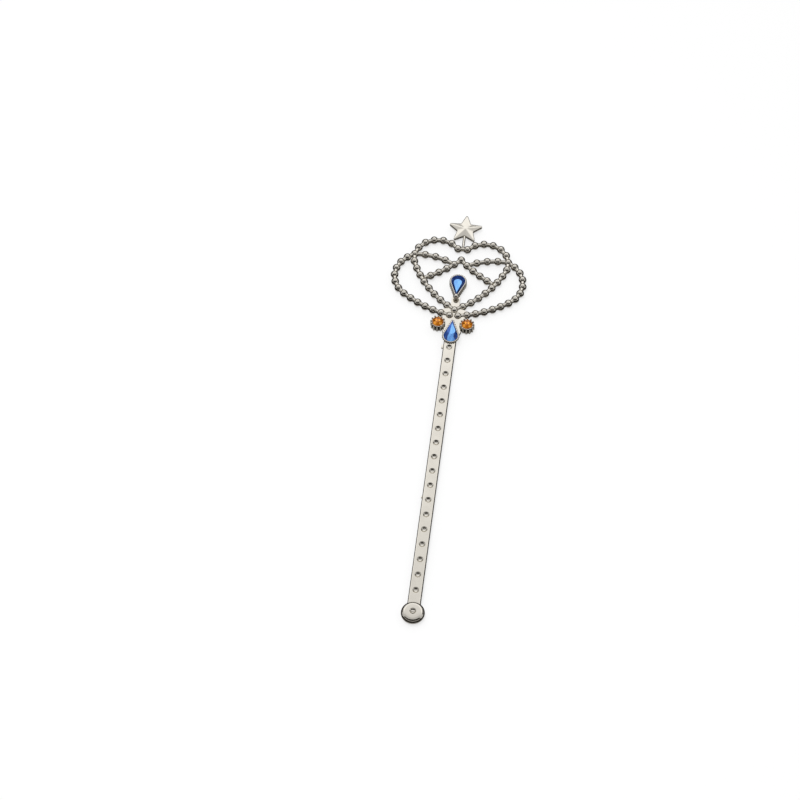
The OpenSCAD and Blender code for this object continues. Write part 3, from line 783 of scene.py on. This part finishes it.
class WAND_OT_yoke(bpy.types.Operator):
    """Rounds the edges of the head's base plate"""

    bl_idname = "wand.yoke"
    bl_label = "Yoke"

    WELD, FLAT, SHARP = 2e-6, math.radians(0.6), math.radians(35)

    def execute(self, context):
        s = context.scene.wand_sizes
        node = frame["nodes"]["yoke"]
        bm = bmesh.new()
        bm.from_mesh(node.data)
        bm.transform(node.matrix_world)
        bmesh.ops.remove_doubles(bm, verts=bm.verts, dist=self.WELD)
        bmesh.ops.dissolve_limit(bm, angle_limit=self.FLAT, verts=bm.verts, edges=bm.edges)
        sharp = [
            e for e in bm.edges if len(e.link_faces) == 2 and e.calc_face_angle() > self.SHARP
        ]
        bevel(bm, sharp, s.yoke_edge_r)
        piece("yoke_plate", mesh_from(bm, "yoke_plate", 20), "plated", "yoke")
        return {"FINISHED"}


class WAND_OT_settings(bpy.types.Operator):
    """Builds the ribbed drop settings and the clawed round settings"""

    bl_idname = "wand.settings"
    bl_label = "Settings"

    BEND_CUTS, SIDE_CUTS, CUP_SIDES, PEG_SIDES = 48, 16, 72, 32

    def execute(self, context):
        s = context.scene.wand_sizes
        plan = Plan(s)
        posts = post_tree()
        self.drop_setting(s, plan, posts, "upper_setting", plan.upper_y, False)
        self.drop_setting(s, plan, posts, "lower_setting", plan.eye_y, True)
        for side, x in (("left", -s.round_x), ("right", s.round_x)):
            self.round_setting(s, plan, posts, side + "_round_setting", (x, plan.round_y))
        return {"FINISHED"}

    def wall(self, s, plan, inner, foot):
        """A wall's section as (radius, height): from its foot over its eased rim to the seat."""
        outer, rim, ease = inner + s.bezel_t, plan.rim_z, s.bezel_t * 0.3
        return [
            (outer, foot), (outer, rim - ease), (outer - ease * 0.3, rim - ease * 0.3),
            (outer - ease, rim), (inner + ease * 0.5, rim), (inner, rim - ease * 0.5),
            (inner, plan.seat_z),
        ]

    def stand(self, posts, name, feet, width, height, sides):
        """Makes a piece of posts that stand on those feet."""
        guide = bpy.data.meshes.new(name)
        guide.from_pydata(feet, [], [])
        made = posts.bake(guide, {
            "Post Diameter": width, "Post Height": height, "Post Sides": sides,
            "Material": finish("plated"),
        })
        piece(name, made, "plated")

    def drop_setting(self, s, plan, posts, node, y, point_up):
        r, tip = s.drop_w / 2, s.drop_l - s.drop_w / 2
        inner = r + s.stone_clear
        outer = inner + s.bezel_t

        def foot(p):
            """The lower wall stands on the shaft's end, and past it on the yoke."""
            if not point_up:
                return plan.shaft_z
            return (plan.yoke_top if p[1] > y else plan.shaft_top) + s.seat_gap

        def outline(radius, bend_cuts, side_cuts):
            points = drop_outline(radius, tip * radius / r, bend_cuts, side_cuts)
            return place_drop(points, y, point_up)

        bm = bmesh.new()
        skin(bm, [
            [
                (*p, foot(p) if z is None else z)
                for p in outline(radius, self.BEND_CUTS, self.SIDE_CUTS)
            ]
            for radius, z in self.wall(s, plan, inner, None)
        ])
        if point_up:
            peg_r, edge = s.peg_d / 2, s.peg_d * 0.08
            low, high = plan.shaft_z, plan.seat_z - edge
            peg = [(0, low), (peg_r - edge, low), (peg_r, low + edge), (peg_r, high), (0, high)]
            lathe(bm, peg, (0, y), self.PEG_SIDES)
        else:
            ball = bmesh.ops.create_icosphere(bm, subdivisions=BEAD_DETAIL, radius=s.tip_bead_d / 2)
            shift = (0, y - tip - s.tip_bead_out, plan.yoke_top + s.seat_gap + s.tip_bead_d / 2)
            bmesh.ops.translate(bm, verts=ball["verts"], vec=shift)
        piece(node + "_wall", mesh_from(bm, node + "_wall", SMOOTH_BELOW), "plated", node)

        # ribs stand along the outside of the wall, in one row for each height of its foot
        ribs = outline(outer, s.drop_ribs - 1, s.side_ribs + 1)[1:]
        for label, past_shaft in (("_ribs", False), ("_tip_ribs", True)):
            row = [(*p, foot(p)) for p in ribs if (point_up and p[1] > y) == past_shaft]
            if row:
                height = plan.rim_z - row[0][2] - s.rib_d / 4
                self.stand(posts, node + label, row, s.rib_d, height, RIB_SIDES)

    def round_setting(self, s, plan, posts, node, centre):
        inner, low = s.round_d / 2 + s.stone_clear, plan.shaft_z
        bm = bmesh.new()
        cup = [(0, low), *self.wall(s, plan, inner, low), (0, plan.seat_z)]
        lathe(bm, cup, centre, self.CUP_SIDES)
        piece(node + "_cup", mesh_from(bm, node + "_cup", SMOOTH_BELOW), "plated", node)
        feet = [(*p, low) for p in circle(centre, inner + s.bezel_t, s.claw_n)]
        height = plan.rim_z - low + s.claw_rise
        self.stand(posts, node + "_claws", feet, s.claw_d, height, CLAW_SIDES)


class WAND_OT_stones(bpy.types.Operator):
    """Cuts the blue drop stones and the amber round stones"""

    bl_idname = "wand.stones"
    bl_label = "Stones"

    BEND_FACETS, SIDE_FACETS, ROUND_FACETS = 10, 2, 8
    # the painted light value given to the stones' back faces and straight edges
    BACK_DEPTH, EDGE_DEPTH = 0.1, 0.2
    CREASE = 0.02  # radians; flatter edges between facets stay as they are
    # crown points lie this share of the way from edge to table, and this much prouder than that
    WAIST, PROUD = 0.52, 0.06
    # places on a drop's middle line, in stone lengths: its middle, and the point where the lower
    # stone's table facets meet, which shapes the painted light strip on its table
    MIDDLE, PEAK = 0.12, 0.40
    # a round stone's table facets are painted: painted glints to both sides, painted shade to the
    # front
    PAINTED_TABLE_GLINTS = (0.66, 0.22, 0.18, 0.62, 1.0, 0.34, 0.28, 1.0)
    # painted light added to the crown's main kite facets
    PAINTED_KITE_LIGHT = (0.10, -0.22, 0.0, -0.22, 0.10, 0.42, -0.12, 0.42)

    def execute(self, context):
        s = context.scene.wand_sizes
        plan = Plan(s)
        self.drop_stone(s, plan, "upper_drop_stone", plan.upper_y, False)
        self.drop_stone(s, plan, "lower_drop_stone", plan.eye_y, True)
        for side, x in (("left", -s.round_x), ("right", s.round_x)):
            self.round_stone(s, plan, side + "_round_stone", (x, plan.round_y))
        return {"FINISHED"}

    def drop_stone(self, s, plan, node, y, point_up):
        table_z = plan.rim_z + s.drop_crown

        def ring(width, long, height, shift=0.0):
            outline = drop_outline(width / 2, long - width / 2, self.BEND_FACETS, self.SIDE_FACETS)
            outline = [p + Vector((0, shift)) for p in outline]
            return [Vector((*p, height)) for p in place_drop(outline, y, point_up)]

        back = ring(s.drop_w, s.drop_l, plan.seat_z)
        edge = ring(s.drop_w, s.drop_l, plan.rim_z)
        table = ring(s.drop_table_w, s.drop_table_l, table_z, s.drop_table_shift)
        bm = bmesh.new()
        bm.faces.layers.float.new("facet")
        low, high, top = ([bm.verts.new(p) for p in r] for r in (back, edge, table))
        size = len(low)
        waist = []
        for i in range(size):
            j = (i + 1) % size
            p = ((edge[i] + edge[j]) / 2).lerp((table[i] + table[j]) / 2, self.WAIST)
            p.z = plan.rim_z + s.drop_crown * (self.WAIST + self.PROUD)
            waist.append(bm.verts.new(p))
        # depth holds each face's painted light, the painted reflection or shade that picks its
        # colour
        depth = {bm.faces.new(list(reversed(low))): self.BACK_DEPTH}
        middle = Vector((0, y + s.drop_l * (self.MIDDLE if point_up else -self.MIDDLE), table_z))
        peak = bm.verts.new(middle + Vector((0, s.drop_l * (self.PEAK if point_up else 0.0), 0)))
        # the last numbers are small painted differences in light from one facet to the next, a
        # painted sparkle
        for i in range(size):
            j, k = (i + 1) % size, (i - 1) % size
            out = ((edge[i] + edge[j]) / 2 - middle).normalized()
            # crown and table facets get painted light by the way they face
            crown, painted_table_light = self.crown_painted_light(out, point_up), self.table_painted_light(out, point_up)
            for corners, value in (
                ((low[i], low[j], high[j], high[i]), self.EDGE_DEPTH),
                ((high[i], high[j], waist[i]), crown + (0.02, 0.14, -0.04)[i % 3]),
                ((high[i], waist[i], top[i], waist[k]), crown + (0.06, -0.05, 0.10, 0.0)[i % 4]),
                ((waist[i], top[j], top[i]), crown + (0.16, 0.0, 0.08)[i % 3]),
                ((top[i], top[j], peak), painted_table_light + (0.0, 0.06, -0.05)[i % 3]),
            ):
                depth[bm.faces.new(corners)] = value
        self.cut(bm, depth, node, s, "blue_stone")

    def crown_painted_light(self, out, point_up):
        """Painted light of a drop stone's crown facets, by the way a facet faces: painted
        reflection and painted shade.
        """
        if not point_up:
            return 0.02
        if out[1] > 0.2:
            return 0.0 if out[0] > 0 else 0.40
        if out[0] < -0.25:
            return 0.14 if out[1] < -0.2 else 0.60
        return 0.06 if out[0] > 0.45 else 0.74

    def table_painted_light(self, out, point_up):
        """Painted light on a drop stone's table facets: painted reflection and painted shade, by
        where a facet lies.
        """
        if not point_up:
            return 0.88 + 0.08 * out[0]
        if out[0] < -0.3:
            return 0.36
        return 0.10 if out[1] > 0.0 else 0.94

    def round_stone(self, s, plan, node, centre):
        n = self.ROUND_FACETS
        table_z = plan.rim_z + s.round_crown
        bm = bmesh.new()
        bm.faces.layers.float.new("facet")

        def ring(width, height, points, first=0.0):
            return [bm.verts.new((*p, height)) for p in circle(centre, width / 2, points, first)]

        low, high = (ring(s.round_d, z, 2 * n) for z in (plan.seat_z, plan.rim_z))
        waist = ring(s.round_waist_d, plan.rim_z + s.round_waist, n, 0.5)
        top = ring(s.round_table_d, table_z, n)
        middle = bm.verts.new((*centre, table_z))
        # depth holds each face's painted light, the painted reflection or shade that picks its
        # colour
        depth = {bm.faces.new(list(reversed(low))): self.BACK_DEPTH}
        for i in range(2 * n):
            j = (i + 1) % (2 * n)
            depth[bm.faces.new((low[i], low[j], high[j], high[i]))] = self.EDGE_DEPTH
        for i in range(n):
            j, k = (i + 1) % n, (i - 1) % n
            main, left, right = high[2 * i], high[2 * i + 1], high[2 * i - 1]
            # painted light on the crown: darker on facets that face the sides, with painted
            # differences from facet to facet
            crown = 0.62 - 0.30 * abs(math.cos(math.tau * i / n))
            for corners, value in (
                ((top[i], top[j], middle), self.PAINTED_TABLE_GLINTS[i]),
                ((main, left, waist[i]), crown + (-0.18, 0.15)[i % 2]),
                ((main, waist[k], right), crown + (0.12, -0.15)[i % 2]),
                ((main, waist[i], top[i], waist[k]), crown + self.PAINTED_KITE_LIGHT[i]),
                ((waist[i], top[j], top[i]), crown + (-0.20, 0.08)[i % 2]),
            ):
                depth[bm.faces.new(corners)] = value
        self.cut(bm, depth, node, s, "amber_stone")

    def cut(self, bm, depth, node, s, slot):
        """Softens the facet edges and keeps each facet's painted light on its faces."""
        layer = bm.faces.layers.float["facet"]
        for face, value in depth.items():
            face[layer] = value
        creases = [e for e in bm.edges if e.calc_face_angle() > self.CREASE]
        bevel(bm, creases, s.stone_edge_r / 2, segments=1)
        piece(node + "_cut", mesh_from(bm, node + "_cut"), slot, node)


class WAND_OT_star(bpy.types.Operator):
    """Moulds the puffed star on its stem"""

    bl_idname = "wand.star"
    bl_label = "Star"

    ARMS, RINGS, BLUR = 5, 12, 12
    TIP_CUTS, SIDE_CUTS, STEM_SIDES = 8, 7, 32
    EASE = 0.24 * MM
    # the stem's foot: millimetres above the dip, and its width there in stem widths
    STEM_FOOT = ((0.0, 1.25), (1.4, 1.22), (1.9, 1.06), (2.6, 1.0))

    def execute(self, context):
        s = context.scene.wand_sizes
        plan = Plan(s)
        back, ease = plan.bead_r - s.stem_d / 2, self.EASE
        rim = self.outline(s)
        centre = Vector((0, plan.star_y))

        def loop(inset, z):
            return [(*(centre + p * (1 - inset / p.length)), back + z) for p in rim]

        loops = [
            loop(ease, 0.0), loop(ease * 0.3, ease * 0.3), loop(0, ease),
            loop(0, s.star_edge_t - ease), loop(ease * 0.3, s.star_edge_t - ease * 0.3),
        ]
        for i in range(self.RINGS):
            scale = (1 - ease / s.star_notch_r) * (1 - i / self.RINGS)
            loops.append([
                (*(centre + p * scale), back + self.height(s, p * scale)) for p in rim
            ])
        bm = bmesh.new()
        last = skin(bm, loops, close_last=False)[-1]
        top = bm.verts.new((*centre, back + self.height(s, Vector((0, 0)))))
        for a, b in zip(last, last[1:] + last[:1]):
            bm.faces.new((a, b, top))
        self.stem(bm, s, plan)
        mesh = mesh_from(bm, "star_moulding", SMOOTH_BELOW)
        piece("star_moulding", mesh, "plated", "star_finial")
        return {"FINISHED"}

    def side(self, s):
        """An arm along +X: its tip's middle, its notch, and the way its straight side faces."""
        tip = Vector((s.star_r - s.star_tip_r, 0))
        notch = polar((0, 0), s.star_notch_r, math.pi / self.ARMS)
        turn = heading(notch - tip) - math.acos(s.star_tip_r / (notch - tip).length)
        return tip, notch, turn

    def outline(self, s):
        tip, notch, turn = self.side(s)
        n, cuts = self.SIDE_CUTS, self.TIP_CUTS
        bend = [polar(tip, s.star_tip_r, turn * (2 * i / cuts - 1)) for i in range(cuts + 1)]
        start = Vector((notch[0], -notch[1]))
        arm = [start.lerp(bend[0], i / n) for i in range(n)] + bend[:-1]
        arm += [bend[-1].lerp(notch, i / n) for i in range(n)]
        turns = [Matrix.Rotation(QUARTER + math.tau * k / self.ARMS, 2) for k in range(self.ARMS)]
        return [turned @ p for turned in turns for p in arm]

    def height(self, s, p):
        """Height above the star's back: flat slopes, blurred to soften ridges and valleys."""
        _, notch, turn = self.side(s)
        across = Vector((math.cos(turn), math.sin(turn)))
        reach = across.dot(notch)
        wedge = math.tau / self.ARMS
        total = 0.0
        for q in circle(p, s.star_soft, self.BLUR):
            lean = (heading(q) - QUARTER + wedge / 2) % wedge - wedge / 2
            fold = Vector((math.cos(lean), abs(math.sin(lean)))) * q.length
            total += 1 - across.dot(fold) / reach
        return s.star_edge_t + s.star_dome * max(0.0, min(1.0, total / self.BLUR + 0.02))

    def stem(self, bm, s, plan):
        foot, r = plan.heart[0][1], s.stem_d / 2
        places = [(foot + rise * MM, width) for rise, width in self.STEM_FOOT]
        places += [(plan.star_y - s.star_notch_r, 1.0), (plan.star_y, 1.0)]
        loops = []
        for y, width in places:
            ring = circle((0, plan.bead_r), r * width, self.STEM_SIDES)
            loops.append([(p[0], y, p[1]) for p in ring])
        skin(bm, loops)


def card_shader(paint, look, upright):
    """A dark card, darkest at its top with a pale band low down; or the flat sheet that paints a
    dark floor into reflections, paler from above.
    """
    geometry = paint.node("ShaderNodeNewGeometry")
    if upright:
        up = paint.parts(geometry["Position"])["Z"]
        base = paint.mix(paint.spread(up, 1.8, 2.4), look.card_mid, look.card_and_painted_sheet_dark)
        pale = paint.spread(up, 0.50, 0.58) * paint.spread(up, 1.02, 0.94)
    else:
        # the flat sheet is painted light: a dark floor painted into reflections, paler to rays that
        # come steeply from above
        base = look.card_and_painted_sheet_dark
        pale = paint.spread(paint.parts(geometry["Incoming"])["Z"], 0.72, 0.84)
    return paint.node("ShaderNodeBsdfDiffuse", {"Color": paint.mix(pale, base, look.card_and_painted_sheet_pale)})


def floor_shader(paint, look):
    """A white sweep: part of its white is there whatever the light, so its shadows stay soft."""
    lit = paint.node("ShaderNodeBsdfDiffuse", {"Color": look.floor})
    own = paint.node("ShaderNodeEmission", {"Color": (1.0, 1.0, 1.0), "Strength": 1.0})
    ray = paint.node("ShaderNodeLightPath")
    seen = ray["Is Camera Ray"] + ray["Is Glossy Ray"] + ray["Is Transmission Ray"]
    return paint.node("ShaderNodeMixShader", {0: seen * 0.7, 1: lit, 2: own})


class WAND_OT_stage(bpy.types.Operator):
    """Sets the floor, the dark cards, the sheet that paints dark floor reflections, the light and
    the camera
    """

    bl_idname = "wand.stage"
    bl_label = "Stage"

    SKY, BACK_SKY = (0.60, 0.60, 0.60), (1.25, 1.25, 1.25)
    FLOOR_HALF, FLOOR_Z = 40.0, -0.2 * MM
    SHEET_HALF, SHEET_Z = 2.5, -0.1 * MM
    # the ring of cards: its radius, its cuts, and where each card starts and ends from the front
    RING_R, RING_CUTS = 2.4, 16
    CARDS = ((-72, 72), (104, 180), (-180, -104))

    def execute(self, context):
        scene = context.scene
        look = scene.wand_finishes
        self.world(scene)
        floor = self.plane("floor", self.FLOOR_HALF, self.FLOOR_Z)
        self.show(scene, floor, material("white_sweep", floor_shader, look))
        ring = self.card_ring()
        sheet = self.plane("painted_reflection_sheet", self.SHEET_HALF, self.SHEET_Z)
        for mesh in (ring, sheet):
            made = self.show(scene, mesh, material(mesh.name, card_shader, look, mesh is ring))
            # both are seen only in reflections and block no light; the sheet is a painted dark
            # reflection of the floor
            made.visible_camera = made.visible_diffuse = made.visible_shadow = False
        self.lamps(scene)
        self.camera(scene)
        scene.view_settings.view_transform = "Standard"
        return {"FINISHED"}

    def world(self, scene):
        """A pale sky, brightest at the back from 33 to 50 degrees up, as from a large softbox."""
        scene.world = bpy.data.worlds.new("white_studio")
        paint = Paint(scene.world)
        way = paint.parts(paint.node("ShaderNodeTexCoord")["Generated"])
        back = paint.spread(way["Y"], 0.1, 0.5)
        high = paint.spread(way["Z"], 0.97, 0.76) * paint.spread(way["Z"], 0.43, 0.55)
        shade = paint.mix(back * high, self.SKY, self.BACK_SKY)
        glow = paint.node("ShaderNodeBackground", {"Color": shade, "Strength": 1.0})
        paint.node("ShaderNodeOutputWorld", {"Surface": glow})

    def plane(self, name, half, z):
        bm = bmesh.new()
        bmesh.ops.create_grid(bm, x_segments=1, y_segments=1, size=half)
        bmesh.ops.translate(bm, verts=bm.verts, vec=(0, 0, z))
        return mesh_from(bm, name)

    def show(self, scene, mesh, cover):
        """Stands a mesh on the stage."""
        mesh.materials.append(cover)
        made = bpy.data.objects.new(mesh.name, mesh)
        scene.collection.objects.link(made)
        return made

    def card_ring(self):
        """Dark cards for the plating to mirror, highest at the front, with gaps at the sides."""
        bm = bmesh.new()
        for first, last in self.CARDS:
            rows = []
            for degrees in [first] + spaced(first, last, self.RING_CUTS):
                turn = math.radians(degrees)
                rise = math.radians(46 + 20 * math.cos(turn) + 4 * math.sin(turn))
                foot = polar((0, 0), self.RING_R, turn - QUARTER)
                heights = (0.0, self.RING_R * math.tan(rise))
                rows.append([bm.verts.new((*foot, z)) for z in heights])
            for a, b in zip(rows, rows[1:]):
                bm.faces.new((a[0], b[0], b[1], a[1]))
        return mesh_from(bm, "card_ring")

    def lamps(self, scene):
        lamp = bpy.data.lights.new("softbox", "AREA")
        lamp.shape, lamp.size, lamp.size_y = "RECTANGLE", 1.2, 0.8
        lamp.energy = 20.0
        made = bpy.data.objects.new("softbox", lamp)
        made.visible_glossy = False
        made.location = (-0.35, -0.05, 2.0)
        made.rotation_euler = (-made.location).to_track_quat("-Z", "Y").to_euler()
        scene.collection.objects.link(made)

    def camera(self, scene):
        data = bpy.data.cameras.new("camera")
        data.sensor_width, data.lens = 36.0, 95.1
        data.clip_start, data.clip_end = 0.05, 50.0
        made = bpy.data.objects.new("camera", data)
        made.location = (0.0716, -0.7997, 1.1565)
        look_along = Vector((-0.0706, 0.5692, -0.8192))
        made.rotation_euler = look_along.to_track_quat("-Z", "Y").to_euler()
        scene.collection.objects.link(made)
        scene.camera = made


class WAND_PT_pieces(bpy.types.Panel):
    """Lists the wand's pieces, sizes and finishes"""

    bl_idname = "WAND_PT_pieces"
    bl_label = "Toy Magic Wand"
    bl_space_type = "VIEW_3D"
    bl_region_type = "UI"
    bl_category = "Wand"

    def draw(self, context):
        for maker in OPERATORS:
            self.layout.operator(maker.bl_idname)
        for group in (context.scene.wand_sizes, context.scene.wand_finishes):
            box = self.layout.box()
            for name in type(group).__annotations__:
                box.prop(group, name)


OPERATORS = (
    WAND_OT_bead_strands, WAND_OT_handle, WAND_OT_yoke, WAND_OT_settings,
    WAND_OT_stones, WAND_OT_star, WAND_OT_stage,
)
CLASSES = (WandSizes, WandFinishes, *OPERATORS, WAND_PT_pieces)


def register():
    for made in CLASSES:
        bpy.utils.register_class(made)
    bpy.types.Scene.wand_sizes = bpy.props.PointerProperty(type=WandSizes)
    bpy.types.Scene.wand_finishes = bpy.props.PointerProperty(type=WandFinishes)


def unregister():
    del bpy.types.Scene.wand_finishes
    del bpy.types.Scene.wand_sizes
    for made in reversed(CLASSES):
        bpy.utils.unregister_class(made)


def main():
    register()
    bpy.ops.wand.bead_strands()
    bpy.ops.wand.handle()
    bpy.ops.wand.yoke()
    bpy.ops.wand.settings()
    bpy.ops.wand.stones()
    bpy.ops.wand.star()
    bpy.ops.wand.stage()
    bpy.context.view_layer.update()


if __name__ == "__main__":
    main()
